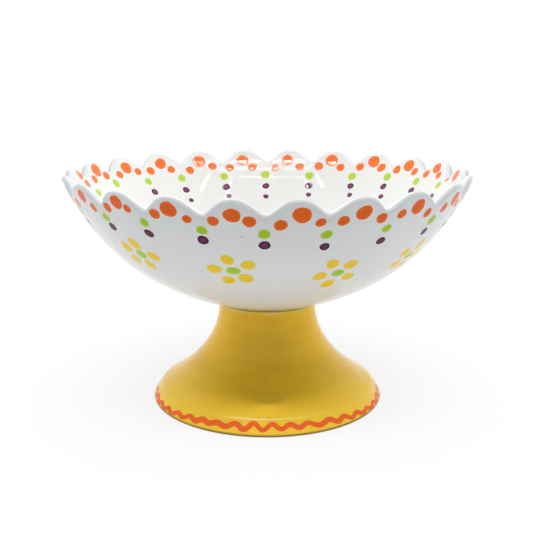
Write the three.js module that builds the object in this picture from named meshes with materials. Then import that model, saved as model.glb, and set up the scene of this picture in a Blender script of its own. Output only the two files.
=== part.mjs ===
// A footed ice cream bowl in glazed earthenware: a bowl with a scalloped rim, a hollow trumpet foot,
// and the ring of slip that joins the two before they are fired.
// Millimetres, +Z up. The origin is the centre of the plane the foot rests on; the front is toward -Y.
import * as THREE from "three";

// Bowl sizes
const RIM_DIAMETER = 150; // over the crests of the scallops
const HEIGHT = 87.8; // resting plane to the crests
const SCALLOP_COUNT = 22;
const SCALLOP_DEPTH = 4.9; // crest down to valley
const VALLEY_SOFTNESS = 0.4; // 0 would make each valley a sharp notch between round crests
const CREST_FULLNESS = 1.2; // 1 would make each crest a plain half wave; more makes it broader
const LIP_THICKNESS = 3; // wall at the crests, rounded over at the top
const BASE_THICKNESS = 7; // wall where the bowl leaves the joint
const BASE_ANGLE = 18.3; // slope of the wall at the joint, degrees from level
const BASE_REACH = 41.2; // how far the wall holds on to that slope
const RIM_ANGLE = 68.8; // slope of the wall at the crests, degrees from level
const RIM_REACH = 10.8; // how far the wall holds on to that slope

// Joint sizes
const JOINT_HEIGHT = 37.7; // flat underside of the bowl
const NECK_DIAMETER = 37; // narrowest place, where bowl and foot meet
const SLIP_THICKNESS = 0.8; // bed of slip between the two flat faces
const SLIP_RECESS = 0.4; // the bed stays back from the neck, which leaves the fine seam line
const BEAD_WIDTH = 1.4; // slip squeezed out into the hollow of the foot
const BEAD_DROP = 1.8; // how far that bead hangs down the wall
const BEAD_CLEARANCE = 0.3; // bead to the wall of the foot

// Foot sizes
const FOOT_DIAMETER = 89.4;
const NECK_WALL = 5; // wall of the foot at its top
const NECK_ROUND = 0.6; // top edge of the foot at the seam
const NECK_REACH = 18.5; // how far the neck stays upright before it flares
const FLARE_ANGLE = 34; // slope of the flare at the arris above the edge band, degrees from level
const FLARE_REACH = 2; // how far the flare holds on to that slope
const ARRIS_ROUND = 3; // soft arris between the flare and the edge band
const BAND_ANGLE = 46; // slope of the band round the edge of the foot, degrees from level
const BAND_WIDTH = 5; // down the slope, arris to edge
const EDGE_ROUND = 0.8; // small rounds either side of the flat foot ring
const FOOT_RING_WIDTH = 4.4; // flat, unglazed ring that the foot stands on

// Facets
const SCALLOP_STEPS = [0, 28, 70, 125, 180, 235, 290, 332]; // degrees of one scallop, closest in its valley
const STEPS_AROUND_FOOT = 64;
const WALL_STEPS = 7;
const FLARE_STEPS = 8;

// Points worked out from the sizes
const rimRadius = RIM_DIAMETER / 2;
const neckRadius = NECK_DIAMETER / 2;
const footRadius = FOOT_DIAMETER / 2;
const footTop = JOINT_HEIGHT - SLIP_THICKNESS;
const boreRadius = neckRadius - NECK_WALL;

// A unit direction in a section: r to the right, z up.
function direction(degrees) {
  const angle = THREE.MathUtils.degToRad(degrees);
  return new THREE.Vector2(Math.cos(angle), Math.sin(angle));
}

function along(point, degrees, distance) {
  return point.clone().addScaledVector(direction(degrees), distance);
}

// A curve in a section that leaves one point at a slope and reaches another at a second slope.
function sweep(start, startAngle, startReach, end, endAngle, endReach) {
  const startHandle = along(start, startAngle, startReach);
  const endHandle = along(end, endAngle + 180, endReach);
  return new THREE.CubicBezierCurve(start, startHandle, endHandle, end);
}

function arc(centre, radius, startAngle, endAngle, steps) {
  const points = [];
  for (let i = 0; i <= steps; i++) {
    points.push(along(centre, THREE.MathUtils.lerp(startAngle, endAngle, i / steps), radius));
  }
  return points;
}

function slopeAt(curve, t) {
  const tangent = curve.getTangent(t);
  return THREE.MathUtils.radToDeg(Math.atan2(tangent.y, tangent.x));
}

// Bowl: its outer wall is one sweep from the joint to the lip at a crest.
const crestLip = new THREE.Vector2(rimRadius - LIP_THICKNESS / 2, HEIGHT - LIP_THICKNESS / 2);
const outerWall = sweep(
  new THREE.Vector2(neckRadius, JOINT_HEIGHT), BASE_ANGLE, BASE_REACH,
  along(crestLip, RIM_ANGLE - 90, LIP_THICKNESS / 2), RIM_ANGLE, RIM_REACH,
);

function wallThickness(t) {
  return THREE.MathUtils.lerp(BASE_THICKNESS, LIP_THICKNESS, t);
}

// A point inside the wall: depth 0 is the outer face and depth 1 the inner face.
function inWall(t, depth) {
  return along(outerWall.getPoint(t), slopeAt(outerWall, t) + 90, wallThickness(t) * depth);
}

function lipTop(t) {
  return inWall(t, 0.5).y + wallThickness(t) / 2;
}

// Where the wall has to stop for its rounded lip to end at a height.
function wallEnd(height) {
  let low = 0;
  let high = 1;
  for (let i = 0; i < 40; i++) {
    const middle = (low + high) / 2;
    if (lipTop(middle) < height) {
      low = middle;
    } else {
      high = middle;
    }
  }
  return high;
}

// The scallop outline, 0 in a valley and 1 on a crest: a row of full half waves with softened notches.
// A valley faces the front.
function scallop(angle) {
  const halfWave = Math.sin((SCALLOP_COUNT * angle) / 2);
  const softened = Math.hypot(halfWave, VALLEY_SOFTNESS) - VALLEY_SOFTNESS;
  const rise = softened / (Math.hypot(1, VALLEY_SOFTNESS) - VALLEY_SOFTNESS);
  return 1 - (1 - rise) ** CREST_FULLNESS;
}

// The angles round the axis where the rim has a section, scallop by scallop.
function scallopAngles() {
  const angles = [];
  for (let i = 0; i < SCALLOP_COUNT; i++) {
    for (const step of SCALLOP_STEPS) {
      angles.push((2 * Math.PI * (i + step / 360)) / SCALLOP_COUNT);
    }
  }
  return angles;
}

// The bowl's section at one angle, from the axis under the floor, round the lip, to the axis inside.
function bowlSection(angle) {
  const end = wallEnd(HEIGHT - SCALLOP_DEPTH * (1 - scallop(angle)));
  const outside = [];
  const inside = [];
  for (let i = 0; i <= WALL_STEPS; i++) {
    outside.push(inWall((end * i) / WALL_STEPS, 0));
    inside.push(inWall(end * (1 - i / WALL_STEPS), 1));
  }
  const lipCentre = inWall(end, 0.5);
  const lipRadius = wallThickness(end) / 2;
  const lipAngle = slopeAt(outerWall, end);
  const lip = [
    ...arc(lipCentre, lipRadius, 0, 90, 3),
    along(lipCentre, (lipAngle + 180) / 2, lipRadius),
  ];
  // The floor is a shallow dish that carries on from the wall to a level middle.
  const floorEdge = inside.at(-1);
  const dish = (Math.tan(THREE.MathUtils.degToRad(BASE_ANGLE)) * floorEdge.x) / 2;
  const floorMiddle = floorEdge.y - dish;
  const floor = [0.66, 0.33].map((share) => (
    new THREE.Vector2(floorEdge.x * share, floorMiddle + dish * share ** 2)
  ));
  const axisBelow = new THREE.Vector2(0, JOINT_HEIGHT);
  const axisAbove = new THREE.Vector2(0, floorMiddle);
  return [axisBelow, ...outside, ...lip, ...inside, ...floor, axisAbove];
}

// A closed solid through sections set round the axis; each section starts and ends on the axis.
function loftAround(sectionAt, angles) {
  const positions = [];
  const faces = [];
  const first = sectionAt(0);
  const rows = first.length - 2;
  const columns = angles.length;
  for (const angle of angles) {
    for (const point of sectionAt(angle).slice(1, -1)) {
      positions.push(point.x * Math.sin(angle), -point.x * Math.cos(angle), point.y);
    }
  }
  const bottom = columns * rows;
  const top = bottom + 1;
  positions.push(0, 0, first[0].y, 0, 0, first.at(-1).y);
  for (let column = 0; column < columns; column++) {
    const here = column * rows;
    const next = ((column + 1) % columns) * rows;
    faces.push(bottom, next, here);
    for (let row = 0; row < rows - 1; row++) {
      faces.push(here + row, next + row, next + row + 1);
      faces.push(here + row, next + row + 1, here + row + 1);
    }
    faces.push(top, here + rows - 1, next + rows - 1);
  }
  const geometry = new THREE.BufferGeometry();
  geometry.setAttribute("position", new THREE.Float32BufferAttribute(positions, 3));
  geometry.setIndex(faces);
  geometry.computeVertexNormals();
  return geometry;
}

// A clockwise loop of points in a section, turned once round the axis.
function turned(loop) {
  const outline = [...loop, loop[0]].reverse();
  return new THREE.LatheGeometry(outline, STEPS_AROUND_FOOT).rotateX(Math.PI / 2);
}

// Foot: a neck that flares out to a soft arris and a steeper edge band, hollow from below, with a flat
// ring to stand on.
function footSection() {
  const ringOuter = new THREE.Vector2(footRadius - EDGE_ROUND, EDGE_ROUND);
  const ringInner = new THREE.Vector2(ringOuter.x - FOOT_RING_WIDTH, EDGE_ROUND);
  const bandEnd = along(ringOuter, 90 - BAND_ANGLE, EDGE_ROUND);
  const arris = along(bandEnd, 180 - BAND_ANGLE, BAND_WIDTH);
  const arrisTurn = THREE.MathUtils.degToRad(BAND_ANGLE - FLARE_ANGLE);
  const flareEnd = along(arris, 180 - FLARE_ANGLE, ARRIS_ROUND * Math.tan(arrisTurn / 2));
  const arrisCentre = along(flareEnd, -90 - FLARE_ANGLE, ARRIS_ROUND);
  const flare = sweep(
    new THREE.Vector2(neckRadius, footTop - NECK_ROUND), -90, NECK_REACH,
    flareEnd, -FLARE_ANGLE, FLARE_REACH,
  );
  const hollowEdge = arc(ringInner, EDGE_ROUND, -90, -90 - FLARE_ANGLE, 2);
  const hollow = sweep(
    hollowEdge.at(-1), 180 - FLARE_ANGLE, FLARE_REACH,
    new THREE.Vector2(boreRadius, footTop), 90, NECK_REACH,
  );
  const seamEdge = new THREE.Vector2(neckRadius - NECK_ROUND, footTop - NECK_ROUND);
  return [
    ...arc(seamEdge, NECK_ROUND, 90, 0, 2),
    ...flare.getPoints(FLARE_STEPS).slice(1),
    ...arc(arrisCentre, ARRIS_ROUND, 90 - FLARE_ANGLE, 90 - BAND_ANGLE, 2).slice(1),
    ...arc(ringOuter, EDGE_ROUND, 90 - BAND_ANGLE, -90, 4),
    ...hollowEdge,
    ...hollow.getPoints(FLARE_STEPS).slice(1),
  ];
}

// Slip: a thin flat bed from the seam inward, and the soft bead it makes inside the hollow.
function slipSection() {
  const seamRadius = neckRadius - SLIP_RECESS;
  const beadOuter = boreRadius - BEAD_CLEARANCE;
  const beadRadius = BEAD_WIDTH / 2;
  const beadCentre = new THREE.Vector2(beadOuter - beadRadius, footTop - BEAD_DROP + beadRadius);
  return [
    new THREE.Vector2(beadCentre.x - beadRadius, JOINT_HEIGHT),
    new THREE.Vector2(seamRadius, JOINT_HEIGHT),
    new THREE.Vector2(seamRadius, footTop),
    new THREE.Vector2(beadOuter, footTop),
    ...arc(beadCentre, beadRadius, 0, -180, 6),
  ];
}

function piece(name, geometry, colour, roughness) {
  const material = new THREE.MeshStandardMaterial({ color: colour, roughness, metalness: 0 });
  const mesh = new THREE.Mesh(geometry, material);
  mesh.name = name;
  return mesh;
}

const part = new THREE.Group();
part.name = "footed_ice_cream_bowl";
part.add(piece("bowl", loftAround(bowlSection, scallopAngles()), 0xeeeeea, 0.12));
part.add(piece("foot", turned(footSection()), 0xd9ad2b, 0.14));
part.add(piece("slip_joint", turned(slipSection()), 0x9d9535, 0.4));

export default part;
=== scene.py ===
"""The looks of a footed ice cream bowl in glazed, hand-painted earthenware, in the frame of its solids."""
import math
import random

import bpy
import numpy as np
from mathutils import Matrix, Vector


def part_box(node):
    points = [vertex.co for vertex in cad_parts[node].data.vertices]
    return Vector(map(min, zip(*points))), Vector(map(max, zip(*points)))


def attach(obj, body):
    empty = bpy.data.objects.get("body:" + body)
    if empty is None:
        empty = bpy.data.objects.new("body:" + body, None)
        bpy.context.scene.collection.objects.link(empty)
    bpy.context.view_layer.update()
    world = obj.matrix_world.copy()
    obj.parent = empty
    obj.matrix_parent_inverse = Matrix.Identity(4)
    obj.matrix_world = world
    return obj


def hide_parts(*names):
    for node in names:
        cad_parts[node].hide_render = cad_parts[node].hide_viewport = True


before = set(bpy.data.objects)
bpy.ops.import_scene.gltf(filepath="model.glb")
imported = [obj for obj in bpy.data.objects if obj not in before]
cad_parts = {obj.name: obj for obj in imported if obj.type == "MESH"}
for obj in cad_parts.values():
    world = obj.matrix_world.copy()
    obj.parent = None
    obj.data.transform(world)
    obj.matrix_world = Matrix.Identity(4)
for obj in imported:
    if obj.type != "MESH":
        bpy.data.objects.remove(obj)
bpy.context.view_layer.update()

MM = 0.001  # metres in a millimetre: sections and places are worked out in millimetres

# Sizes that the solids give, in mm

bowl_low, bowl_high = (np.array(corner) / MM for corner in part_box("bowl"))
foot_low, foot_high = (np.array(corner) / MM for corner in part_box("foot"))
RIM_RADIUS = bowl_high[0]
HEIGHT = bowl_high[2]
JOINT_HEIGHT = bowl_low[2]
FOOT_RADIUS = foot_high[0]
FOOT_TOP = foot_high[2]

# The bowl's section, in mm and degrees

SCALLOP_COUNT = 22
SCALLOP_DEPTH = 4.9
VALLEY_SOFTNESS = 0.4  # 0 is a sharp valley between two scallops
CREST_FULLNESS = 1.2  # 1 is a plain half wave, more is a broader crest
LIP_THICKNESS = 3.0
LIP_ROUNDS = (0.9, 1.3)  # corners of the narrow level cut along the rim, outside and inside
BASE_THICKNESS = 7.0
NECK_RADIUS = 18.5
BASE_ANGLE, BASE_REACH = 18.3, 41.2
RIM_ANGLE, RIM_REACH = 68.8, 10.8
RIM_CLEARANCE = 0.03  # the fired rim stays this far below the solid's
RIM_SHRINK = 0.45  # and this far inside it
RIM_SETTLED = 0.05  # how far the rim sank in the kiln, give or take as much
CUT_UNEVEN = 0.25  # how much deeper or shallower the scallops are here and there
RIM_UNEVEN = 0.12  # how far the rim is out of round
RIPPLE, RIPPLE_PITCH = 0.003, 0.9  # height of the throwing rings, and radians of a wave in each mm up
BELLY = 1.0  # how much fuller the fired wall is low down
BELLY_START, BELLY_RISE, BELLY_SPREAD = 0.12, 0.28, 0.22  # where, as shares of the wall's height
SEAM_TILT = 0.55  # how much higher the seam lies in front than in the middle
BOWL_TILT_FADE, FOOT_TILT_FADE = 14, 12  # how far from the seam the tilt fades out, in bowl and foot

# The foot's section, in mm and degrees

NECK_WALL = 5.0
NECK_ROUND = 0.6
NECK_REACH = 18.5
FLARE_ANGLE, FLARE_REACH = 34.0, 2.0
ARRIS_ROUND = 5.0
BAND_ANGLE, BAND_WIDTH = 56.0, 5.75
EDGE_ROUND = 0.5
GLAZE_END = -20  # where on the round of the edge the glaze was wiped off
EDGE_CLEARANCE = 0.35  # the glazed edge, rubbed down a little, stays this far inside the solid's
FOOT_RING_WIDTH = 4.4
FOOT_RINGS, FOOT_RING_PITCH = 0.035, 1.5  # throwing rings of the foot, as those of the bowl
FOOT_UNEVEN = 0.06  # how far the foot is out of round
LOW_TRUE, HIGH_TRUE = 8, 6  # how far from the floor and from its top that fades out
SEAM = 0.5  # height of the slip line between bowl and foot
SEAM_ROUND, SEAM_OUT = 0.3, 0.05  # the round of its hollow, whose middle lies this far outside the neck
BEAD_ROUND, BEAD_DROP, BEAD_CLEARANCE = 0.7, 1.8, 0.3  # the slip squeezed out inside the foot

# How fine the meshes are

COLUMNS_PER_SCALLOP = 22
VALLEY_CROWDING = 0.5  # 0 spaces the columns evenly, more draws them into the valleys
WALL_ROWS = 72
LIP_ROWS = (3, 9, 4, 7)  # up the outer face, round its corner, across the cut, round the inner corner
FLOOR_ROWS = 16
UNDER_SHARES = np.array([0.25, 0.5, 0.75, 0.98])  # rows of the flat underside, as shares of its radius
FOOT_COLUMNS = 288
FLARE_ROWS = 60
CORNER_ROWS = 6
SHARP_ANGLE = 40  # corners beyond this many degrees are shaded sharp
DOT_SPOKES = 28


def heading(degrees):
    """Unit steps (outwards, up) at these angles above level."""
    radians = np.radians(degrees)
    return np.stack([np.cos(radians), np.sin(radians)], axis=-1)


class Sweep:
    """A smooth curve of a section, from a point and an angle to a point and an angle."""

    def __init__(self, start, start_angle, start_reach, end, end_angle, end_reach):
        start, end = np.array(start, float), np.array(end, float)
        self.handles = (
            start,
            start + start_reach * heading(start_angle),
            end - end_reach * heading(end_angle),
            end,
        )

    def point(self, share):
        s = np.asarray(share, float)[..., None]
        a, b, c, d = self.handles
        return a * (1 - s) ** 3 + b * 3 * s * (1 - s) ** 2 + c * 3 * s**2 * (1 - s) + d * s**3

    def slope(self, share):
        s = np.asarray(share, float)[..., None]
        a, b, c, d = self.handles
        step = (b - a) * (1 - s) ** 2 + (c - b) * 2 * s * (1 - s) + (d - c) * s**2
        return np.degrees(np.arctan2(step[..., 1], step[..., 0]))


def arc(centre, radius, first, last, steps):
    """Points of a round edge of a section, from one angle to another."""
    return np.array(centre) + radius * heading(np.linspace(first, last, steps))


def drift(angle, seed, waves, reach):
    """A smooth unevenness round the piece, between -reach and reach, with the given numbers of waves."""
    dice = random.Random(seed)
    total = sum(np.cos(wave * np.asarray(angle) + dice.uniform(0, math.tau)) for wave in waves)
    return total * reach / len(waves)


# The bowl's surface

CREST_LIP = np.array([RIM_RADIUS - LIP_THICKNESS / 2, HEIGHT - LIP_THICKNESS / 2])
WALL = Sweep(
    (NECK_RADIUS, JOINT_HEIGHT), BASE_ANGLE, BASE_REACH,
    CREST_LIP + LIP_THICKNESS / 2 * heading(RIM_ANGLE - 90), RIM_ANGLE, RIM_REACH,
)
OUTSIDE, INSIDE = 0, 1  # also how deep in the wall each face lies
FACINGS = (-90, 90)  # which way each face looks, from the slope of the wall


def wall_thickness(share):
    return BASE_THICKNESS + (LIP_THICKNESS - BASE_THICKNESS) * np.asarray(share)


def in_wall(share, depth):
    """A point of the section, share of the way from joint to crest and depth of the way through the wall."""
    across = heading(WALL.slope(share) + 90)
    return WALL.point(share) + across * (wall_thickness(share) * depth)[..., None]


SHARES = np.linspace(0, 1, 4001)
LIP_TOPS = in_wall(SHARES, 0.5)[:, 1] + wall_thickness(SHARES) / 2


def lengths_along(points):
    return np.concatenate([[0], np.cumsum(np.linalg.norm(np.diff(points, axis=0), axis=1))])


WALL_LENGTHS = [lengths_along(in_wall(SHARES, side)) for side in (OUTSIDE, INSIDE)]


def scallop(angle):
    """1 on a crest and 0 in a valley; the front and the back are valleys."""
    half_wave = np.hypot(np.sin(SCALLOP_COUNT * angle / 2), VALLEY_SOFTNESS)
    rise = (half_wave - VALLEY_SOFTNESS) / (math.hypot(1, VALLEY_SOFTNESS) - VALLEY_SOFTNESS)
    return 1 - (1 - rise) ** CREST_FULLNESS


# How far crests (odd numbers) and valleys (even ones) strayed as the rim was cut, in degrees

RIM_STRAYED = {
    -7: 1.7, -6: 1.8, -5: 1.5, -4: 1.7, -3: 0.7, -2: 0.8, -1: 0.0, 0: -0.2,
    1: -1.0, 2: -1.5, 3: -1.3, 4: -2.4, 5: -2.3, 6: -1.1, 7: -0.3,
}
RIM_NUMBERS = range(-SCALLOP_COUNT, SCALLOP_COUNT)
RIM_PLACES = np.array(RIM_NUMBERS) * math.pi / SCALLOP_COUNT
RIM_STRAYS = np.radians([RIM_STRAYED.get(number, 0.0) for number in RIM_NUMBERS])


def rim_height(angle):
    """The height of the scalloped edge, which is a little uneven as it was cut by hand."""
    angle = np.asarray(angle, float)
    cut = angle - np.interp(angle, RIM_PLACES + RIM_STRAYS, RIM_STRAYS, period=math.tau)
    depth = SCALLOP_DEPTH + drift(angle, 4, (3, 7, 10), CUT_UNEVEN)
    settled = RIM_SETTLED + drift(angle, 5, (2, 3, 8), RIM_SETTLED)
    return HEIGHT - RIM_CLEARANCE - settled - depth * (1 - scallop(cut))


def rim_share(angle):
    """Where the wall ends and the round of the lip starts."""
    return np.interp(rim_height(angle), LIP_TOPS, SHARES)


def out_of_round(angle, height):
    """How far the fired wall stands off its true round: nothing at the joint, inside it at the rim."""
    rise = (height - JOINT_HEIGHT) / (HEIGHT - JOINT_HEIGHT)
    shrink = -RIM_SHRINK + drift(angle, 6, (2, 3, 5), RIM_UNEVEN)
    ripple = RIPPLE * np.sin(height * RIPPLE_PITCH + drift(angle, 7, (1, 2, 4), 1.5))
    start = np.clip(rise / BELLY_START, 0, 1)
    belly = BELLY * start * np.exp(-(((rise - BELLY_RISE) / BELLY_SPREAD) ** 2))
    return rise * (shrink + ripple) + belly


def placed(angle, section):
    """Points in space for section points (outwards, up) at these angles from the front."""
    angle = np.broadcast_to(angle, section.shape[:-1])
    reach = section[..., 0]
    return np.stack([reach * np.sin(angle), -reach * np.cos(angle), section[..., 1]], axis=-1)


def bowl_point(angle, section):
    """A point of the fired bowl, with its slight unevenness."""
    uneven = section.copy()
    off_axis = np.clip(section[..., 0] / NECK_RADIUS, 0, 1)
    uneven[..., 0] += off_axis * out_of_round(angle, section[..., 1])
    near_seam = np.clip(1 - (section[..., 0] - NECK_RADIUS) / BOWL_TILT_FADE, 0, 1)
    uneven[..., 1] += off_axis * seam_lift(angle) * near_seam
    return placed(angle, uneven)


def seam_lift(angle):
    """How far the seam lies above its middle height, as the bowl was set on its foot a little askew."""
    return SEAM_TILT * np.cos(angle)


def lip_corner(share, side):
    """The middle of the round of a corner of the lip, from the middle of the wall's end."""
    room = wall_thickness(share) / 2 - LIP_ROUNDS[side]
    face = heading(WALL.slope(share) + FACINGS[side])
    return np.stack([room * (1 - face[..., 1]) / face[..., 0], room], axis=-1)


def lip_lengths(share, side):
    """Lengths over the lip from one face: up to its corner, round that, across the cut, round the other."""
    slope = WALL.slope(share)
    near, far = lip_corner(share, side), lip_corner(share, 1 - side)
    bends = [np.radians(np.abs(90 - slope - FACINGS[face])) * LIP_ROUNDS[face] for face in (side, 1 - side)]
    return np.sum(near * heading(slope), axis=-1), bends[0], np.abs(near[..., 0] - far[..., 0]), bends[1]


def over_lip(share, side, past):
    """Section points and their facings on the lip, past mm beyond the end of one face of the wall."""
    slope = WALL.slope(share)
    way = (1, -1)[side]
    rise, bend, level, fall = lip_lengths(share, side)
    risen = np.clip(past, 0, rise)
    bent = np.clip(past - rise, 0, bend) / LIP_ROUNDS[side]
    crossed = np.clip(past - rise - bend, 0, level)
    fallen = np.clip(past - rise - bend - level, 0, fall) / LIP_ROUNDS[1 - side]
    facing = slope + FACINGS[side] + way * np.degrees(bent + fallen)
    middle = lip_corner(share, side) - (rise - risen)[..., None] * heading(slope)
    middle[..., 0] -= way * crossed
    middle = np.where(fallen[..., None] > 0, lip_corner(share, 1 - side), middle)
    radius = np.where(fallen > 0, LIP_ROUNDS[1 - side], LIP_ROUNDS[side])
    return in_wall(share, 0.5) + middle + radius[..., None] * heading(facing), facing


def bowl_skin(side, angle, down):
    """Points and outward directions on a face of the bowl and its lip, down mm along it from the crests."""
    end = rim_share(angle)
    total = WALL_LENGTHS[side][-1]
    past = total - np.interp(end, SHARES, WALL_LENGTHS[side]) - down
    share = np.where(past > 0, end, np.interp(total - down, WALL_LENGTHS[side], SHARES))
    lip, lip_facing = over_lip(share, side, past)
    facing = np.where(past > 0, lip_facing, WALL.slope(share) + FACINGS[side])
    section = np.where(past[..., None] > 0, lip, in_wall(share, side))
    return bowl_point(angle, section), placed(angle, heading(facing))


# The foot's surface

RING_OUTER = np.array([FOOT_RADIUS - EDGE_CLEARANCE - EDGE_ROUND, EDGE_ROUND])
RING_INNER = RING_OUTER - (FOOT_RING_WIDTH, 0)
BAND_END = RING_OUTER + EDGE_ROUND * heading(90 - BAND_ANGLE)
ARRIS = BAND_END + BAND_WIDTH * heading(180 - BAND_ANGLE)
ARRIS_TANGENT = ARRIS_ROUND * math.tan(math.radians((BAND_ANGLE - FLARE_ANGLE) / 2))
FLARE_END = ARRIS + ARRIS_TANGENT * heading(180 - FLARE_ANGLE)
ARRIS_CENTRE = FLARE_END + ARRIS_ROUND * heading(-90 - FLARE_ANGLE)
NECK_TOP = JOINT_HEIGHT - SEAM
NECK_START = (NECK_RADIUS, NECK_TOP - NECK_ROUND)
FLARE = Sweep(NECK_START, -90, NECK_REACH, FLARE_END, -FLARE_ANGLE, FLARE_REACH)


def foot_uneven(angle, section):
    """The foot's slight throwing rings and out-of-round, none of it under the ring, and its askew top."""
    height = section[..., 1]
    weight = np.clip(height / LOW_TRUE, 0, 1) * np.clip((FOOT_TOP - height) / HIGH_TRUE, 0, 1)
    rings = FOOT_RINGS * np.sin(height * FOOT_RING_PITCH + drift(angle, 11, (1, 2, 3), 1.2))
    uneven = section.copy()
    uneven[..., 0] += weight * (rings + drift(angle, 12, (2, 3, 7), FOOT_UNEVEN))
    uneven[..., 1] += seam_lift(angle) * np.clip((height - NECK_TOP) / FOOT_TILT_FADE + 1, 0, 1)
    return uneven


def foot_section():
    """The foot's outline and the finish of each stretch of it: 0 glaze, 1 bare ring, 2 hollow."""
    shares = np.linspace(0, 1, FLARE_ROWS + 1)
    hollow_edge = arc(RING_INNER, EDGE_ROUND, -90, -90 - FLARE_ANGLE, CORNER_ROWS)
    hollow = Sweep(
        hollow_edge[-1], 180 - FLARE_ANGLE, FLARE_REACH,
        (NECK_RADIUS - NECK_WALL, NECK_TOP), 90, NECK_REACH,
    )
    glazed = [
        arc((NECK_RADIUS - NECK_ROUND, NECK_START[1]), NECK_ROUND, 90, 0, 8),
        FLARE.point(shares[1:]),
        arc(ARRIS_CENTRE, ARRIS_ROUND, 90 - FLARE_ANGLE, 90 - BAND_ANGLE, 8)[1:],
        ARRIS + (BAND_END - ARRIS) * np.linspace(0.2, 1, 8)[:, None],
        arc(RING_OUTER, EDGE_ROUND, 90 - BAND_ANGLE, GLAZE_END, CORNER_ROWS)[1:],
    ]
    bare = [
        arc(RING_OUTER, EDGE_ROUND, GLAZE_END, -90, CORNER_ROWS)[1:],
        np.linspace((RING_OUTER[0], 0), (RING_INNER[0], 0), CORNER_ROWS),
        hollow_edge[1:],
    ]
    hidden = [hollow.point(shares[1:])]
    outline = np.concatenate(glazed + bare + hidden)
    counts = [sum(map(len, stretch)) for stretch in (glazed, bare, hidden)]
    return outline, np.repeat((0, 1, 2), (counts[0] - 1, counts[1], counts[2] + 1))


# Meshes

def even_angles(count):
    return np.arange(count) * math.tau / count


def ring_faces(columns, rows, closed):
    """Quads between the columns and rows of a turned piece; closed joins its last row to the first."""
    faces = []
    for row in range(rows if closed else rows - 1):
        above = (row + 1) % rows
        for here in range(0, columns * rows, rows):
            beside = (here + rows) % (columns * rows)
            faces.append((here + row, beside + row, beside + above, here + above))
    return faces


def cap_faces(columns, rows, row, middle):
    """Triangles from a row of a turned piece to a point on its axis."""
    return [
        (column * rows + row, (column + 1) % columns * rows + row, middle)
        for column in range(columns)
    ]


def facing_out(vertices, faces):
    """The faces, all turned over if the closed mesh is inside out."""
    points = np.asarray(vertices)
    volume = 0.0
    for corners in {len(face) for face in faces}:
        group = points[np.array([face for face in faces if len(face) == corners])]
        for corner in range(1, corners - 1):
            volume += np.sum(group[:, 0] * np.cross(group[:, corner], group[:, corner + 1]))
    return faces if volume > 0 else [tuple(reversed(face)) for face in faces]


def in_scene(name, data):
    made = bpy.data.objects.new(name, data)
    bpy.context.scene.collection.objects.link(made)
    return made


def piece(name, vertices, faces, materials, replaces=None, finish=None, edge=None):
    """A closed piece of the object from points in mm, riding on the object's one body."""
    mesh = bpy.data.meshes.new(name)
    mesh.from_pydata((np.asarray(vertices) * MM).tolist(), [], facing_out(vertices, faces))
    for material in materials:
        mesh.materials.append(material)
    if finish is not None:
        mesh.polygons.foreach_set("material_index", finish)
    if edge is not None:
        mesh.attributes.new("edge", "FLOAT", "POINT").data.foreach_set("value", edge)
    mesh.shade_smooth()
    mesh.set_sharp_from_angle(angle=math.radians(SHARP_ANGLE))
    mesh.update()
    made = in_scene(name, mesh)
    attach(made, "root")
    if replaces:
        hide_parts(replaces)


def bowl_angles():
    """Columns round the bowl, closer together in the valleys of the rim, where it bends most."""
    share = np.arange(SCALLOP_COUNT * COLUMNS_PER_SCALLOP) / COLUMNS_PER_SCALLOP
    even = math.tau / SCALLOP_COUNT * (share - VALLEY_CROWDING * np.sin(math.tau * share) / math.tau)
    return even + np.interp(even, RIM_PLACES, RIM_STRAYS, period=math.tau)


OUTSIDE_SHADE, RIM_SHADE = 0.5, 0.25  # how much painted shade the glaze takes outside, and how much more towards the rim
LIP_SHADE = (0, 3, 7, 11, 19), (0.75, 1.0, 1.0, 0.4, 0.0)  # rows over the lip, and how much painted shade there
RIM_FADE = 4.0  # how far down the outside the painted shade of the rim fades out, in mm


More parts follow.
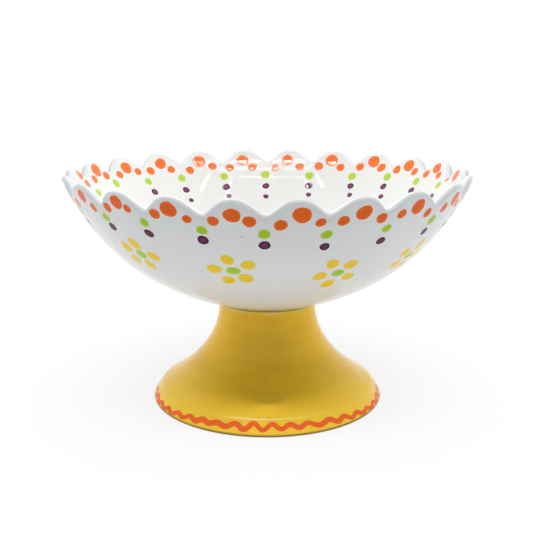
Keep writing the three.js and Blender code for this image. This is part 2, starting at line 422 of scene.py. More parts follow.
def make_bowl(glaze):
    """The bowl, each point marked with how much painted shade its glaze takes: 0 inside, 1 at the rim's outer
    edge.
    """
    angles = bowl_angles()
    end = rim_share(angles)[:, None]
    steps = np.linspace(0, 1, WALL_ROWS)[None, :]
    outer = in_wall(end * steps, OUTSIDE)
    inner = in_wall(end * steps[:, ::-1], INSIDE)
    past, rows_past = 0, []
    for length, rows in zip(lip_lengths(end, OUTSIDE), LIP_ROWS):
        rows_past.append(past + length * np.linspace(0, 1, rows + 1)[None, 1:])
        past = past + length
    lip, _ = over_lip(end, OUTSIDE, np.concatenate(rows_past, axis=1))
    floor_edge = in_wall(0, INSIDE)
    dish = math.tan(math.radians(BASE_ANGLE)) * floor_edge[0] / 2
    inwards = np.linspace(1, 0, FLOOR_ROWS + 1)[1:-1]
    floor = np.stack([floor_edge[0] * inwards, floor_edge[1] - dish * (1 - inwards**2)], axis=-1)
    under = np.stack([NECK_RADIUS * UNDER_SHARES, np.full(len(UNDER_SHARES), JOINT_HEIGHT)], axis=-1)
    under, floor = (np.broadcast_to(part, (len(angles),) + part.shape) for part in (under, floor))
    section = np.concatenate([under, outer, lip, inner, floor], axis=1)
    rows = section.shape[1]
    points = bowl_point(angles[:, None], section).reshape(-1, 3)
    middles = [(0, 0, JOINT_HEIGHT), (0, 0, floor_edge[1] - dish)]
    vertices = np.concatenate([points, middles])
    below_rim = (rim_height(angles)[:, None] - section[..., 1]) / RIM_FADE
    edge = OUTSIDE_SHADE + RIM_SHADE * np.exp(-np.clip(below_rim, 0, None))
    lip_start = under.shape[1] + outer.shape[1] + LIP_ROWS[0]
    inside = lip_start + sum(LIP_ROWS[1:])
    edge[:, lip_start:inside] = np.interp(np.arange(inside - lip_start), *LIP_SHADE)
    edge[:, inside:] = 0
    edge = np.append(edge.reshape(-1), (OUTSIDE_SHADE, 0))
    faces = ring_faces(len(angles), rows, closed=False)
    faces += [face[::-1] for face in cap_faces(len(angles), rows, 0, len(points))]
    faces += cap_faces(len(angles), rows, rows - 1, len(points) + 1)
    piece("bowl_glazed", vertices, faces, [glaze], replaces="bowl", edge=edge)


def make_foot(glaze, clay, lining):
    outline, finish = foot_section()
    angles = even_angles(FOOT_COLUMNS)
    section = np.broadcast_to(outline, (len(angles),) + outline.shape)
    points = placed(angles[:, None], foot_uneven(angles[:, None], section)).reshape(-1, 3)
    faces = ring_faces(len(angles), len(outline), closed=True)
    piece(
        "foot_glazed", points, faces, [glaze, clay, lining],
        replaces="foot", finish=np.repeat(finish, len(angles)),
    )


def make_joint(slip):
    """The fired slip between bowl and foot: a hollow line outside and a squeezed bead inside the foot."""
    inside = NECK_RADIUS - NECK_WALL - BEAD_CLEARANCE
    bead = BEAD_ROUND
    hollow = arc((NECK_RADIUS + SEAM_OUT, JOINT_HEIGHT - SEAM / 2), SEAM_ROUND, 124, 236, 9)
    outline = np.concatenate([
        hollow,
        [(inside, NECK_TOP)],
        arc((inside - bead, FOOT_TOP - BEAD_DROP + bead), bead, 0, -180, 12),
        arc((inside - bead, JOINT_HEIGHT - bead), bead, 180, 100, 6),
    ])
    outline[:, 1] = np.clip(outline[:, 1], None, JOINT_HEIGHT)
    angles = even_angles(FOOT_COLUMNS)
    section = np.repeat(outline[None], len(angles), axis=0)
    section[..., 1] += section[..., 0] / NECK_RADIUS * seam_lift(angles[:, None])
    points = placed(angles[:, None], section).reshape(-1, 3)
    faces = ring_faces(len(angles), len(outline), closed=True)
    piece("joint_slip", points, faces, [slip], replaces="slip_joint")


# The photograph, and the camera that stands as the photographer's did

IMAGE_WIDTH = 533
FOCAL_PIXELS = 843.85
MIDDLE_X, MIDDLE_Y = 266.8, 266.5  # the pixel that the lens points at
CAMERA_PLACE = (0, -0.31454, 0.12528)
CAMERA_PITCH = 13.419
ENLARGED = 4  # dots were read in a part of the photograph enlarged so many times
ENLARGED_FROM = (55, 145)  # the first pixel of that part
SEARCH_ROUNDS = 20
SEARCH_STEPS = np.array([0.001, 0.05])  # small steps round the bowl in radians and down it in mm
SEARCH_REACH = np.array([0.05, 2.0])  # the furthest that one round of the search goes
SEARCH_TOP = 0.2  # how near to the crests it may come, in mm


def in_photograph(points):
    """The pixels across and down at which points in mm show, and how many pixels a mm takes up there."""
    away = points - np.array(CAMERA_PLACE) / MM
    scale = FOCAL_PIXELS / (away[..., 1:] @ heading(-CAMERA_PITCH))
    across = MIDDLE_X + scale * away[..., 0]
    down = MIDDLE_Y - scale * (away[..., 1:] @ heading(90 - CAMERA_PITCH))
    return np.stack([across, down], axis=-1), scale


def share_above(side, down):
    """How far up the wall a point lies that is down mm along a face from the crests."""
    return np.interp(WALL_LENGTHS[side][-1] - down, WALL_LENGTHS[side], SHARES)


def seen_place(side, reading, angle, down):
    """Where a place read in the photograph lies on the true round of a face, searched from a first guess."""
    pixel = np.array(ENLARGED_FROM) + (np.array(reading) + 0.5) / ENLARGED - 0.5
    place = np.array([angle, down])
    for _ in range(SEARCH_ROUNDS):
        angles, downs = (place + np.array([(0, 0), (1, 0), (0, 1)]) * SEARCH_STEPS).T
        pixels, scale = in_photograph(placed(angles, in_wall(share_above(side, downs), side)))
        slopes = (pixels[1:] - pixels[0]).T / SEARCH_STEPS
        step = np.linalg.solve(slopes, pixel - pixels[0])
        place = place + np.clip(step, -SEARCH_REACH, SEARCH_REACH)
        place[1] = max(place[1], SEARCH_TOP)
    return place[0], place[1], scale[0]


# Brushwork

RELIEF = 0.05  # how far the fired paint stands proud, in mm
SUNK = 0.15  # how far a dab reaches into the wall, in mm
DAB_RINGS = (  # shares of a dab's radius and of its relief
    (0.3, 1.0), (0.6, 1.0), (0.86, 1.0), (0.94, 0.85), (0.98, 0.45), (1.0, 0.1),
)
DAB_WAVES = ((2, 0.03), (3, 0.025), (5, 0.012))  # waves round its edge, and how far they reach


class Dabs:
    """Dots of one colour on one face, gathered into one piece of separate closed dabs."""

    def __init__(self, side, seed):
        self.side = side
        self.dice = random.Random(seed)
        self.vertices = []
        self.faces = []
        self.edge = []

    def add(self, angle, down, width, height, turn=0.0):
        """One dab at an angle from the front, down mm below the crests, that leans by turn degrees."""
        spokes = even_angles(DOT_SPOKES)
        shape = np.ones(DOT_SPOKES)
        for waves, reach in DAB_WAVES:
            shape += reach * np.cos(waves * spokes + self.dice.uniform(0, math.tau))
        lean = math.radians(turn)
        across = shape * width / 2 * np.cos(spokes)
        along = shape * height / 2 * np.sin(spokes)
        sideways = across * math.cos(lean) - along * math.sin(lean)
        downwards = across * math.sin(lean) + along * math.cos(lean)
        reach = self.reach(down)
        first = len(self.vertices)
        layers = [(share, lift * RELIEF) for share, lift in DAB_RINGS] + [(1.0, -SUNK)]
        for share, lift in layers:
            self.lay(angle + share * sideways / reach, down + share * downwards, lift, share)
        for lift in (RELIEF, -SUNK):
            self.lay(np.array([angle]), np.array([down], float), lift, 0.0)
        self.join(first, len(layers))

    def reach(self, down):
        return in_wall(share_above(self.side, down), self.side)[0]

    def lay(self, angle, down, lift, edge):
        points, normals = bowl_skin(self.side, angle, down)
        self.vertices.extend(points + lift * normals)
        self.edge.extend([edge] * len(points))

    def join(self, first, layers):
        top = first + layers * DOT_SPOKES
        last = top - DOT_SPOKES
        for spoke in range(DOT_SPOKES):
            beside = (spoke + 1) % DOT_SPOKES
            self.faces.append((top, first + spoke, first + beside))
            for near in range(first, last, DOT_SPOKES):
                far = near + DOT_SPOKES
                self.faces.append((near + spoke, far + spoke, far + beside, near + beside))
            self.faces.append((top + 1, last + beside, last + spoke))

    def piece(self, name, paint, slot="white_glaze"):
        piece(name, self.vertices, self.faces, [paint], edge=self.edge)


class BandDabs(Dabs):
    """Dots on the edge band of the foot, placed by their height up the band instead of down the wall."""

    def reach(self, up):
        return BAND_END[0] - up * math.cos(math.radians(BAND_ANGLE))

    def lay(self, angle, up, lift, edge):
        section = BAND_END + up[:, None] * heading(180 - BAND_ANGLE) + lift * heading(90 - BAND_ANGLE)
        self.vertices.extend(placed(angle, section))
        self.edge.extend([edge] * len(section))


STEP = math.tau / SCALLOP_COUNT
SCALLOPS = range(-SCALLOP_COUNT // 2, SCALLOP_COUNT // 2)  # crest 0 is the first to the right of the front

# Dots in the enlarged photograph, by their crest or valley: across, down and, for near ones, longest way

OUTSIDE_BIG = {
    -4: (100, 204, 62), -3: (238, 229, 67), -2: (448, 258, 73), -1: (705, 283, 68),
    0: (990, 282, 81), 1: (1240, 271, 72), 2: (1457, 247, 73), 3: (1605, 215, 62),
}
OUTSIDE_LEFT = {
    -3: (204, 250, 46), -2: (394, 276, 49), -1: (629, 305, 48),
    0: (903, 322, 56), 1: (1157, 304, 50), 2: (1391, 276, 47), 3: (1560, 250, 49),
}
OUTSIDE_RIGHT = {
    -4: (148, 250, 43), -3: (283, 255, 40), -2: (524, 297, 42), -1: (776, 308, 57),
    0: (1065, 311, 45), 1: (1310, 293, 53), 2: (1493, 271, 46),
}
OUTSIDE_GREEN = {
    -3: (199, 289, 44), -2: (353, 310, 44), -1: (585, 342, 45),
    0: (836, 358, 50), 1: (1088, 359, 49), 2: (1329, 333, 43), 3: (1510, 299, 47),
}
OUTSIDE_PURPLE = {
    -3: (227, 327, 42), -2: (373, 354, 44), -1: (590, 381, 48),
    0: (838, 402, 47), 1: (1079, 407, 43), 2: (1304, 383, 42), 3: (1478, 345, 39),
}
INSIDE_BIG = {
    -11: (749, 60), -10: (574, 66), -9: (419, 74), -8: (281, 91), -7: (160, 100), -6: (93, 115),
    5: (1608, 122), 6: (1532, 92), 7: (1419, 82), 8: (1278, 66), 9: (1108, 61), 10: (930, 60),
}
INSIDE_LEFT = {
    -11: (788, 87), -10: (628, 84), -9: (462, 97), -8: (329, 106), -7: (202, 122),
    6: (1537, 121), 7: (1441, 106), 8: (1308, 90), 9: (1143, 89), 10: (979, 86),
}
INSIDE_RIGHT = {
    -11: (698, 89), -10: (538, 100), -9: (380, 103), -8: (256, 118), -7: (155, 136),
    5: (1575, 130), 6: (1488, 114), 7: (1370, 98), 8: (1222, 87), 9: (1056, 84), 10: (881, 90),
}
INSIDE_GREEN = {
    -11: (841, 118), -10: (675, 125), -9: (505, 132), -8: (371, 145), -7: (242, 153),
    6: (1536, 160), 7: (1447, 145), 8: (1331, 127), 9: (1189, 125), 10: (1017, 122),
}
INSIDE_PURPLE = {
    -11: (843, 163), -10: (684, 167), -9: (523, 179), -8: (397, 187),
    6: (1506, 207), 7: (1427, 181), 8: (1315, 165), 9: (1183, 163), 10: (1016, 162),
}
INSIDE_SMALL = {
    -11: (843, 205), -10: (695, 203), -9: (544, 220),
    8: (1305, 205), 9: (1179, 199), 10: (1014, 198),
}

CREST, VALLEY = STEP / 2, 0  # the angle of number 0 in a row
DOT_PIECES = (  # name, face, seed, paint and rows: start, usual place, readings, usual size and spread
    ("rim_dots_outside", OUTSIDE, 21, "orange", (
        (CREST, (0, 3.0), OUTSIDE_BIG, 5.3, 0.6),
        (CREST, (-5.8, 5.7), OUTSIDE_LEFT, 3.7, 0.45),
        (CREST, (5.8, 5.7), OUTSIDE_RIGHT, 3.6, 0.45),
    )),
    ("green_dots_outside", OUTSIDE, 22, "green", ((VALLEY, (-0.5, 10.0), OUTSIDE_GREEN, 3.6, 0.6),)),
    ("purple_dots_outside", OUTSIDE, 23, "purple", ((VALLEY, (-0.5, 14.6), OUTSIDE_PURPLE, 3.3, 0.6),)),
    ("rim_dots_inside", INSIDE, 24, "orange_inside_painted_lit", (
        (CREST, (0.3, 3.5), INSIDE_BIG, 5.5, 0.6),
        (CREST, (-4.8, 6.5), INSIDE_LEFT, 3.8, 0.45),
        (CREST, (6.0, 6.8), INSIDE_RIGHT, 3.8, 0.45),
    )),
    ("green_dots_inside", INSIDE, 25, "green_inside_painted_lit", ((VALLEY, (0, 11.0), INSIDE_GREEN, 3.7, 0.6),)),
    ("purple_dots_inside", INSIDE, 26, "purple_inside_painted_lit", (
        (VALLEY, (0, 16.6), INSIDE_PURPLE, 3.2, 0.6),
        (VALLEY, (0, 22.2), INSIDE_SMALL, 2.3, 0.6),
    )),
)
SPREAD_DOWN = 0.8  # how far a dot strays down, as a share of how far it strays sideways
DOT_SIZES, DOT_WIDTHS, DOT_HEIGHTS = (0.92, 1.08), (1.0, 1.08), (0.93, 1.0)  # shares of the usual
DOT_LEAN = 25  # degrees


def dot_row(dabs, start, even, seen, size, spread):
    """One dot per scallop, at its usual place from the row's start or where the photograph shows it."""
    for number in SCALLOPS:
        sideways = even[0] + dabs.dice.gauss(0, spread)
        down = even[1] + dabs.dice.gauss(0, spread * SPREAD_DOWN)
        angle = start + number * STEP + sideways / dabs.reach(down)
        widest = ()
        if number in seen:
            reading, widest = seen[number][:2], seen[number][2:]
            angle, down, scale = seen_place(dabs.side, reading, start + number * STEP, even[1])
        usual = widest[0] / ENLARGED / scale if widest else size * dabs.dice.uniform(*DOT_SIZES)
        width, height = usual * dabs.dice.uniform(*DOT_WIDTHS), usual * dabs.dice.uniform(*DOT_HEIGHTS)
        dabs.add(angle, down, width, height, dabs.dice.uniform(-DOT_LEAN, DOT_LEAN))


def paint_rim(paints):
    """The dots along the rim and under its valleys, on both faces."""
    for name, side, seed, paint_name, rows in DOT_PIECES:
        dabs = Dabs(side, seed)
        for row in rows:
            dot_row(dabs, *row)
        dabs.piece(name, paints[paint_name])


# Where flowers show, read as the dots were: the middle, and petals from the top one to the right

FLOWERS_SEEN = {
    -1: ((345, 437), (313, 395), (393, 446), (383, 478), (326, 455), (283, 407)),
    0: ((713, 503), (687, 460), (772, 481), (764, 532), (695, 538), (637, 495)),
    1: ((1130, 511), (1111, 476), (1182, 478), (1167, 524), (1087, 552), (1058, 524)),
    2: ((1413, 440),),
}
FLOWERS_TURNED = {2: 14}  # degrees, for the one at the right end, whose petals are too narrow to read
FLOWERS = SCALLOP_COUNT // 2
FLOWER_START, FLOWER_SPREAD = -8.2, 1.0  # the angle of number 0 and how much each strays, in degrees
FLOWER_DOWN, DOWN_SPREAD = 26.5, 1.8  # how far down the wall its middle lies, in mm
FLOWER_TURN = 36  # how far it may be turned, in degrees
MIDDLE_SIZE = (4.4, 4.1)
PETALS = 5
PETAL_OUT = 5.8  # from the middle of the flower to that of a petal, in mm
PETAL_SIZE = (5.2, 4.7)
PETAL_STRAY = 4  # degrees


def paint_flowers(paints):
    """A dotted flower under every second scallop, outside."""
    petals = Dabs(OUTSIDE, 31)
    middles = Dabs(OUTSIDE, 32)
    dice = random.Random(33)
    for number in range(-(FLOWERS // 2), FLOWERS // 2 + 1):
        angle = math.radians(FLOWER_START + 360 / FLOWERS * number + dice.gauss(0, FLOWER_SPREAD))
        down = dice.gauss(FLOWER_DOWN, DOWN_SPREAD)
        turn = dice.uniform(-FLOWER_TURN, FLOWER_TURN)
        seen = FLOWERS_SEEN.get(number, ())
        if seen:
            angle, down, _ = seen_place(OUTSIDE, seen[0], angle, down)
        turn = FLOWERS_TURNED.get(number, turn)
        reach = middles.reach(down)
        width, height = (size * dice.uniform(0.95, 1.05) for size in MIDDLE_SIZE)
        middles.add(angle, down, width, height)
        for petal in range(PETALS):
            bearing = math.radians(turn + petal * 360 / PETALS + dice.gauss(0, PETAL_STRAY))
            out = PETAL_OUT * dice.uniform(0.94, 1.06)
            sideways, lower = out * math.sin(bearing), -out * math.cos(bearing)
            if petal + 1 < len(seen):
                place = seen_place(OUTSIDE, seen[petal + 1], angle + sideways / reach, down + lower)
                sideways, lower = (place[0] - angle) * reach, place[1] - down
            long, wide = PETAL_SIZE[0] * dice.uniform(0.94, 1.06), PETAL_SIZE[1] * dice.uniform(0.92, 1.08)
            lean = math.degrees(math.atan2(lower, sideways))
            petals.add(angle + sideways / reach, down + lower, long, wide, lean)
    petals.piece("flower_petals", paints["yellow"])
    middles.piece("flower_middles", paints["leaf"])


# Columns of the photograph in which crests of the wavy line are set, and how many more crests there are

WAVE_COLUMNS = (164, 170, 179, 190, 203, 216, 234, 253, 272, 290, 307, 329, 343, 355, 364, 370)
MORE_CRESTS = 25
WAVE_VIEW = np.radians(np.linspace(-75, 75, 1501))  # angles at which columns are looked up
WAVE_REACH = 1.05  # from its middle line to a peak at the front, in mm
WAVE_WIDTH = 1.85
WAVE_HEIGHT = 2.2  # of its middle line up the edge band, in mm
WAVE_STEPS = 1120
WAVE_MARGIN = 0.1  # what it leaves free at the edges of the band, in mm
WAVE_SWING = 0.55  # its usual swing, as a share of its reach

# Where the line changes: degrees from the front, spread in degrees and by how much

SWING_CHANGES = ((-3, 13, 0.45), (-26, 6, -0.35))
HEIGHT_CHANGES = ((0, 25, 0.8), (-62, 13, -1.2), (63, 12, -1.2))
WIDTH_CHANGES = ((-26, 8, 0.15),)
STROKE_ROWS = (  # shares of its width, and how far proud of the band
    (-0.5, -SUNK), (-0.5, 0.1 * RELIEF), (-0.25, RELIEF),
    (0.25, RELIEF), (0.5, 0.1 * RELIEF), (0.5, -SUNK),
)


def changed(angle, usual, changes):
    """A usual value with smooth changes near some angles."""
    total = usual
    for degrees, spread, change in changes:
        off = (np.degrees(angle) - degrees + 180) % 360 - 180
        total = total + change * np.exp(-0.5 * (off / spread) ** 2)
    return total


def wave_crests():
    """The angles of the line's crests: those set in the photograph, then the rest, evenly spaced."""
    line = BAND_END + (WAVE_HEIGHT + WAVE_REACH) * heading(180 - BAND_ANGLE)
    pixels, _ = in_photograph(placed(WAVE_VIEW, np.broadcast_to(line, (len(WAVE_VIEW), 2))))
    shown = np.interp(WAVE_COLUMNS, pixels[:, 0], WAVE_VIEW)
    rest = np.linspace(shown[-1], shown[0] + math.tau, MORE_CRESTS + 2)[1:]
    return np.concatenate([shown, rest])


def paint_wave(paint):
    """The wavy brush line round the foot's edge band, boldest at the front and flat in one place."""
    angles = even_angles(WAVE_STEPS)
    crests = wave_crests()
    turned = np.where(angles < crests[0], angles + math.tau, angles)
    turned = np.where(turned > crests[-1], turned - math.tau, turned)
    phase = math.tau * np.interp(turned, crests, np.arange(len(crests)))
    swing = changed(angles, WAVE_SWING, SWING_CHANGES) + drift(angles, 41, (5, 8, 13), 0.15)
    middle = changed(angles, WAVE_HEIGHT, HEIGHT_CHANGES)
    height = middle + WAVE_REACH * swing * np.cos(phase) + drift(angles, 43, (3, 6, 11), 0.1)
    reach = BAND_END[0] - BAND_WIDTH / 2 * math.cos(math.radians(BAND_ANGLE))
    step_along = reach * math.tau / WAVE_STEPS
    step_up = (np.roll(height, -1) - np.roll(height, 1)) / 2
    length = np.hypot(step_along, step_up)
    sideways, upwards = -step_up / length, step_along / length
    width = WAVE_WIDTH * (changed(angles, 1, WIDTH_CHANGES) + drift(angles, 44, (7, 16, 29), 0.15))
    up_band, out_band = heading(180 - BAND_ANGLE), heading(90 - BAND_ANGLE)
    columns = []
    for share, lift in STROKE_ROWS:
        beside = angles + share * width * sideways / reach
        climb = np.clip(height + share * width * upwards, WAVE_MARGIN, BAND_WIDTH - WAVE_MARGIN)
        section = BAND_END + climb[:, None] * up_band + lift * out_band
        columns.append(placed(beside, section))
    points = np.stack(columns, axis=1).reshape(-1, 3)
    edge = np.tile([2 * abs(share) for share, _ in STROKE_ROWS], len(angles))
    faces = ring_faces(len(angles), len(STROKE_ROWS), closed=True)
    piece("foot_wave", points, faces, [paint], edge=edge)


FLECK = (math.radians(-6.4), 10.9, 1.3, 0.7, 10)  # angle, mm down the wall, width, height and lean
SPOT = (math.radians(-57.3), 1.75, 0.9, 0.8)  # angle, mm up the edge band, width and height


def paint_flecks(paints):
    """Two slips of the brush: a faint fleck under the rim and a dark spot beside the wavy line."""
    fleck = Dabs(OUTSIDE, 51)
    fleck.add(*FLECK)
    fleck.piece("olive_fleck", paints["olive"])
    spot = BandDabs(OUTSIDE, 52)
    spot.add(*SPOT)
    spot.piece("wave_spot", paints["brown"], "yellow_glaze")


# Materials

class Shader:
    """The node tree of a material or of the world, built with short calls."""

    def __init__(self, name, kind="materials", surface="Principled BSDF"):
        self.owner = getattr(bpy.data, kind).new(name)
        self.owner.use_nodes = True
        self.tree = self.owner.node_tree
        self.surface = self.tree.nodes[surface]

    def node(self, kind, feeds=None, **settings):
        """A new node with these settings, its sockets fed by name or number."""
        made = self.tree.nodes.new(kind)
        for name, value in settings.items():
            setattr(made, name, value)
        for socket, value in (feeds or {}).items():
            self.feed(made.inputs[socket], value)
        return made

    def feed(self, socket, value):
        """Links a socket, or sets a plain value on it."""
        if isinstance(value, bpy.types.NodeSocket):
            self.tree.links.new(value, socket)
        else:
            socket.default_value = value

    def on_object(self):
        return self.node("ShaderNodeTexCoord").outputs["Object"]

    def place(self, stretch=(1, 1, 1)):
        """Positions on the object in metres, stretched."""
        feeds = {"Vector": self.on_object(), "Scale": stretch}
        return self.node("ShaderNodeMapping", feeds).outputs["Vector"]

    def noise(self, size, detail=2.0, roughness=0.5, stretch=(1, 1, 1)):
        """Cloudy noise from 0 to 1 with features about size mm across."""
        feeds = {"Vector": self.place(stretch), "Scale": 1 / (size * MM)}
        feeds |= {"Detail": detail, "Roughness": roughness}
        return self.node("ShaderNodeTexNoise", feeds).outputs["Fac"]

    def spread(self, value, low, high, to_low=0.0, to_high=1.0):
        """A value's stretch from low to high, taken smoothly to another range."""
        feeds = {"Value": value, "From Min": low, "From Max": high, "To Min": to_low, "To Max": to_high}
        return self.node("ShaderNodeMapRange", feeds, interpolation_type="SMOOTHSTEP").outputs["Result"]

    def maths(self, operation, first, second):
        return self.node("ShaderNodeMath", {0: first, 1: second}, operation=operation).outputs["Value"]

    def blend(self, share, first, second):
        """A colour between two, each a colour or a socket."""
        made = self.node("ShaderNodeMix", {"Factor": share}, data_type="RGBA")
        for socket, colour in ((made.inputs[6], first), (made.inputs[7], second)):
            self.feed(socket, colour if isinstance(colour, bpy.types.NodeSocket) else (*colour, 1))
        return made.outputs[2]

    def specks(self, size, share, strength=1.0):
        """Small scattered spots of a strength; share is how many of the cells have one."""
        cells = self.node("ShaderNodeTexVoronoi", {"Vector": self.place(), "Scale": 1 / (size * MM)})
        split = self.node("ShaderNodeSeparateColor", {"Color": cells.outputs["Color"]})
        chosen = self.spread(split.outputs["Red"], 1 - share, 1 - share * 0.9)
        spot = self.spread(cells.outputs["Distance"], 0.1, 0.22, strength, 0.0)
        return self.maths("MULTIPLY", chosen, spot)

    def height(self):
        """Height above the floor in metres."""
        return self.node("ShaderNodeSeparateXYZ", {"Vector": self.on_object()}).outputs["Z"]

    def edge(self):
        """How near to the edge of its dab or stroke a point lies, from 0 to 1; on the bowl, how much painted
        shade its glaze takes.
        """
        return self.node("ShaderNodeAttribute", attribute_name="edge").outputs["Fac"]

    def bump(self, *layers):
        """Fine relief from noise layers, each with its height in mm."""
        normal = None
        for value, deep in layers:
            feeds = {"Distance": deep * MM, "Height": value}
            if normal:
                feeds["Normal"] = normal
            normal = self.node("ShaderNodeBump", feeds).outputs["Normal"]
        self.feed(self.surface.inputs["Normal"], normal)

    def finish(self, colour, roughness, gloss=0.5):
        self.feed(self.surface.inputs["Base Color"], colour)
        self.feed(self.surface.inputs["Roughness"], roughness)
        self.surface.inputs["Specular IOR Level"].default_value = gloss
        return self.owner

    def gloss_coat(self, low=0.02, high=0.06):
        """The fired glaze over everything: soft waves, faint orange peel and an uneven gloss."""
        self.bump((self.noise(9, detail=1.0), 0.008), (self.noise(1.6, detail=2.0), 0.0012))
        return self.spread(self.noise(14, detail=3.0), 0.3, 0.7, low, high)


def white_glaze(name="white_glaze"):
    """White glaze with painted light and shade: a brighter, warmer tone inside the bowl, a darker, bluer tone
    outside and darkest grey at the rim.
    """
    shader = Shader(name)
    clouds = shader.spread(shader.noise(26, detail=3.0), 0.35, 0.7)
    painted_lit_inside = shader.blend(clouds, (0.845, 0.850, 0.832), (0.825, 0.830, 0.812))
    second_tone = shader.blend(clouds, (0.805, 0.830, 0.835), (0.785, 0.808, 0.812))
    # painted light and shade: the lit inside takes the brighter, warmer tone, the shaded outside the darker,
    # bluer one
    colour = shader.blend(shader.spread(shader.edge(), 0.1, 0.4), painted_lit_inside, second_tone)
    # painted shade: grey over the outer round of the rim, fading down the outside
    colour = shader.blend(shader.spread(shader.edge(), 0.5, 1.0, 0.0, 0.9), colour, (0.560, 0.583, 0.600))
    colour = shader.blend(shader.specks(3.2, 0.012, 0.25), colour, (0.42, 0.33, 0.22))
    return shader.finish(colour, shader.gloss_coat(), gloss=0.14)


def yellow_glaze():
    shader = Shader("yellow_glaze")
    streaks = shader.noise(16, detail=4.0, roughness=0.55, stretch=(0.6, 0.6, 3.0))
    clouds = shader.noise(7, detail=3.0)
    streaks = shader.maths("MULTIPLY", streaks, 0.7)
    clouds = shader.maths("MULTIPLY", clouds, 0.3)
    mixed = shader.maths("ADD", streaks, clouds)
    colour = shader.blend(shader.spread(mixed, 0.36, 0.66), (0.96, 0.596, 0.012), (0.89, 0.526, 0.008))
    # painted light: the low flare and edge band, which the lamps reach past the rim, are lighter and paler
    low = shader.spread(shader.height(), 4 * MM, 14 * MM, 0.8, 0.0)
    colour = shader.blend(low, colour, (0.98, 0.645, 0.042))
    # painted highlight: a pale line on the round top of the foot just below the seam
    second_tone = shader.spread(shader.height(), (NECK_TOP - 1.0) * MM, (NECK_TOP - 0.1) * MM)
    second_tone = shader.maths("MULTIPLY", second_tone, shader.spread(shader.noise(5, detail=2.0), 0.3, 0.65, 0.1, 0.8))
    colour = shader.blend(second_tone, colour, (0.86, 0.76, 0.30))
    # painted shade along the bottom edge where the foot meets the floor, together with the glaze worn thin
    # there
    painted_shade_and_wear = shader.spread(shader.height(), 0.5 * MM, 1.3 * MM, 0.9, 0.0)
    colour = shader.blend(painted_shade_and_wear, colour, (0.20, 0.11, 0.012))
    colour = shader.blend(shader.specks(4.0, 0.006, 0.2), colour, (0.33, 0.16, 0.02))
    return shader.finish(colour, shader.gloss_coat(), gloss=0.25)


def bare_clay():
    shader = Shader("bare_clay")
    grain = shader.noise(0.7, detail=4.0, roughness=0.7)
    colour = shader.blend(shader.spread(grain, 0.3, 0.7), (0.58, 0.46, 0.32), (0.70, 0.60, 0.46))
    colour = shader.blend(shader.specks(1.4, 0.2), colour, (0.32, 0.22, 0.13))
    shader.bump((grain, 0.03))
    return shader.finish(colour, shader.spread(grain, 0.2, 0.8, 0.72, 0.9))


def fired_slip():
    shader = Shader("fired_slip")
    clouds = shader.spread(shader.noise(4, detail=3.0), 0.35, 0.65)
    colour = shader.blend(clouds, (0.37, 0.36, 0.035), (0.55, 0.48, 0.07))
    return shader.finish(colour, shader.gloss_coat(0.15, 0.3))


PAINT_ENDS = (0.45, 0.55)  # how much a paint usually pools, and how much it runs out at its edge
# purple is lighter in the middle of each dot and darker towards its edge
PURPLE_ENDS = ((0.045, 0.004, 0.030), 0.2, 1.0)
PAINTS = {  # colours where it pooled and where it ran out, then its ends and its gloss where they are its own
    "orange": ((0.80, 0.125, 0.006), (0.92, 0.16, 0.010)),
    "green": ((0.39, 0.58, 0.014), (0.47, 0.69, 0.04)),
    "purple": ((0.155, 0.026, 0.10), *PURPLE_ENDS),
    # painted light: lighter copies of the same paints for the brightly lit inside of the bowl
    "orange_inside_painted_lit": ((0.93, 0.172, 0.026), (0.96, 0.205, 0.045), *PAINT_ENDS, 0.22),
    "green_inside_painted_lit": ((0.44, 0.65, 0.045), (0.51, 0.73, 0.09), *PAINT_ENDS, 0.3),
    "purple_inside_painted_lit": ((0.25, 0.043, 0.145), *PURPLE_ENDS, 0.3),
    "yellow": ((0.90, 0.61, 0.016), (0.94, 0.69, 0.05)),
    "leaf": ((0.37, 0.62, 0.02), (0.48, 0.72, 0.07)),
    "wave": ((0.92, 0.135, 0.018), (0.94, 0.175, 0.03)),
    "olive": ((0.60, 0.66, 0.42), (0.68, 0.72, 0.55)),
    "brown": ((0.30, 0.03, 0.006), (0.50, 0.07, 0.010)),
}


def paint(name, full, second_tone, pooling=PAINT_ENDS[0], ring=PAINT_ENDS[1], gloss=0.13):
    """Pigment under the glaze: one colour where it pooled, another where it ran out towards its edge."""
    shader = Shader(name)
    pooled = shader.spread(shader.noise(1.8, detail=3.0), 0.3, 0.7, 0.0, pooling)
    rim = shader.spread(shader.edge(), 0.45, 0.85, 0.0, ring)
    colour = shader.blend(shader.maths("MAXIMUM", pooled, rim), full, second_tone)
    return shader.finish(colour, shader.gloss_coat(), gloss=gloss)


# Studio

FLOOR_RINGS = (0.05, 0.1, 0.2, 0.4, 1.0, 3.0)  # radii in metres
FLOOR_COLUMNS = 64
SHADOW_START, SHADOW_END = 0.04, 0.11  # between these radii in metres the floor's own shade runs out


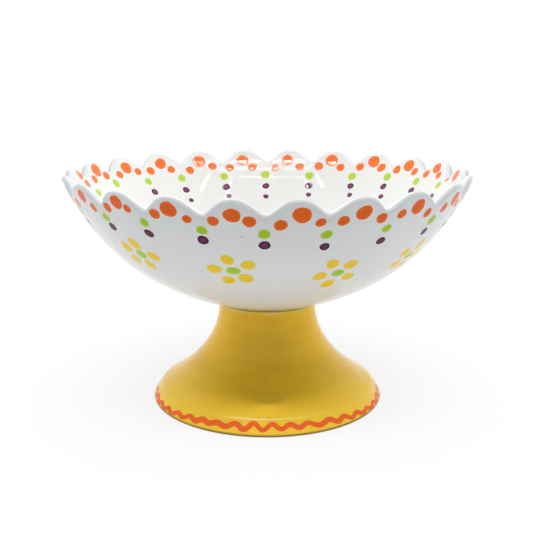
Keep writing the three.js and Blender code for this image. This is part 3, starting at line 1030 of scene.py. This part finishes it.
def make_floor():
    """A pale floor that keeps the shadow near the object and runs out into plain white."""
    angles = even_angles(FLOOR_COLUMNS)
    columns = [[(reach * math.sin(a), -reach * math.cos(a), 0) for reach in FLOOR_RINGS] for a in angles]
    vertices = [point for column in columns for point in column] + [(0, 0, 0)]
    rows = len(FLOOR_RINGS)
    faces = ring_faces(len(angles), rows, closed=False) + cap_faces(len(angles), rows, 0, len(vertices) - 1)
    mesh = bpy.data.meshes.new("floor")
    mesh.from_pydata(vertices, [], faces)
    shader = Shader("floor_paper")
    fibres = shader.noise(1.2, detail=3.0)
    shader.finish(shader.blend(fibres, (0.73, 0.73, 0.73), (0.77, 0.77, 0.77)), 0.9)
    from_middle = shader.node("ShaderNodeVectorMath", {0: shader.place()}, operation="LENGTH")
    runs_out = shader.spread(from_middle.outputs["Value"], SHADOW_START, SHADOW_END, 0.8, 1.0)
    seen = shader.maths("MULTIPLY", seen_directly(shader), runs_out)
    white = shader.node("ShaderNodeEmission").outputs["Emission"]
    mix = shader.node("ShaderNodeMixShader", {"Fac": seen, 1: shader.surface.outputs["BSDF"], 2: white})
    shader.feed(shader.tree.nodes["Material Output"].inputs["Surface"], mix.outputs["Shader"])
    mesh.materials.append(shader.owner)
    floor = in_scene("floor", mesh)


def seen_directly(shader):
    """1 for what the camera sees, also mirrored in a gloss or through glass."""
    path = shader.node("ShaderNodeLightPath")
    either = shader.maths("MAXIMUM", path.outputs["Is Camera Ray"], path.outputs["Is Glossy Ray"])
    return shader.maths("MAXIMUM", either, path.outputs["Is Transmission Ray"])


ROOM_DIM = 0.03
SIDE_GLOW, BACK_GLOW = 2.0, 0.8  # pale screens on both sides and behind
SIDE_WAY = (0.957, 0.256, 0.139)  # towards the middle of the right-hand screen
SIDE_EDGE = (0.76, 0.93)  # how nearly a direction points there where the screen starts and is brightest
BACK_EDGE = (0.2, 0.7)  # and how nearly straight back for the one behind


def make_world():
    """A dim room with pale screens on both sides and behind; the camera and a gloss see plain white."""
    shader = Shader("studio", "worlds", "Background")
    way = shader.node("ShaderNodeTexCoord").outputs["Generated"]
    split = shader.node("ShaderNodeSeparateXYZ", {"Vector": way})
    beside = shader.node("ShaderNodeMath", {0: split.outputs["X"]}, operation="ABSOLUTE")
    towards = zip((beside.outputs["Value"], split.outputs["Y"], split.outputs["Z"]), SIDE_WAY)
    along = [shader.maths("MULTIPLY", value, share) for value, share in towards]
    along = shader.maths("ADD", shader.maths("ADD", along[0], along[1]), along[2])
    sides = shader.spread(along, *SIDE_EDGE, 0.0, SIDE_GLOW)
    back = shader.spread(split.outputs["Y"], *BACK_EDGE, ROOM_DIM, BACK_GLOW)
    room = shader.maths("ADD", sides, back)
    shade = shader.blend(seen_directly(shader), room, (1, 1, 1))
    shader.feed(shader.surface.inputs["Color"], shade)
    bpy.context.scene.world = shader.owner


def lamp(name, place, turn, size, radiance):
    """A rectangular lamp in metres that faces straight down, as bright as radiance says."""
    light = bpy.data.lights.new(name, "AREA")
    light.shape = "RECTANGLE"
    light.size, light.size_y = size
    light.energy = radiance * math.pi * size[0] * size[1]
    made = in_scene(name, light)
    made.location = place
    made.rotation_euler = (0, 0, turn)
    made.visible_camera = False


LAMP_HEIGHT = 0.9
TUBE_WIDTH = 0.011
TUBE_BOW = 0.62  # how far a tube's ends lie behind its middle, per square of their distance from it
TUBE_FADE = 0.6  # how much of its light a tube loses towards its ends
TUBES = (  # name, place of the middle, distance from there to an end, parts and radiance
    ("tube_front", -0.492, 0.60, 7, 142),
    ("tube_middle", -0.408, 0.44, 5, 78),
    ("tube_back", -0.302, 0.29, 5, 27),
)
SIDE_TUBES = (  # name, place, length, width and radiance
    ("tube_right", (0.435, -0.10), 0.22, 0.024, 25),
    ("tube_left", (-0.372, -0.16), 0.16, 0.024, 25),
    ("tube_near_right", (0.256, -0.115), 0.20, 0.009, 85),
    ("tube_near_left", (-0.270, -0.15), 0.12, 0.009, 70),
)


def make_lamps():
    """Three long bowed tubes above and in front of the bowl, and short ones on each side."""
    for name, front, reach, parts, radiance in TUBES:
        ends = np.linspace(-reach, reach, parts + 1)
        bow = np.stack([ends, front + TUBE_BOW * ends**2], axis=-1)
        for part, (start, end) in enumerate(zip(bow, bow[1:])):
            across, along = end - start
            place = (*(start + end) / 2, LAMP_HEIGHT)
            size = (math.hypot(across, along), TUBE_WIDTH)
            fade = 1 - TUBE_FADE * (place[0] / reach) ** 2
            lamp(f"{name}_{part}", place, math.atan2(along, across), size, radiance * fade)
    for name, place, length, width, radiance in SIDE_TUBES:
        lamp(name, (*place, LAMP_HEIGHT), 0, (width, length), radiance)


def make_camera():
    data = bpy.data.cameras.new("camera")
    data.sensor_fit = "HORIZONTAL"
    data.lens = data.sensor_width * FOCAL_PIXELS / IMAGE_WIDTH
    middle = (IMAGE_WIDTH - 1) / 2
    data.shift_x = (middle - MIDDLE_X) / IMAGE_WIDTH
    data.shift_y = (MIDDLE_Y - middle) / IMAGE_WIDTH
    data.clip_start = 0.01
    camera = in_scene("camera", data)
    camera.location = CAMERA_PLACE
    camera.rotation_euler = (math.radians(90 - CAMERA_PITCH), 0, 0)
    bpy.context.scene.camera = camera


bpy.context.scene.view_settings.view_transform = "Standard"
colours = {name: paint(f"paint_{name}", *looks) for name, looks in PAINTS.items()}
make_bowl(white_glaze())
make_foot(yellow_glaze(), bare_clay(), white_glaze("hollow_glaze"))
make_joint(fired_slip())
paint_rim(colours)
paint_flowers(colours)
paint_wave(colours["wave"])
paint_flecks(colours)
make_floor()
make_world()
make_lamps()
make_camera()
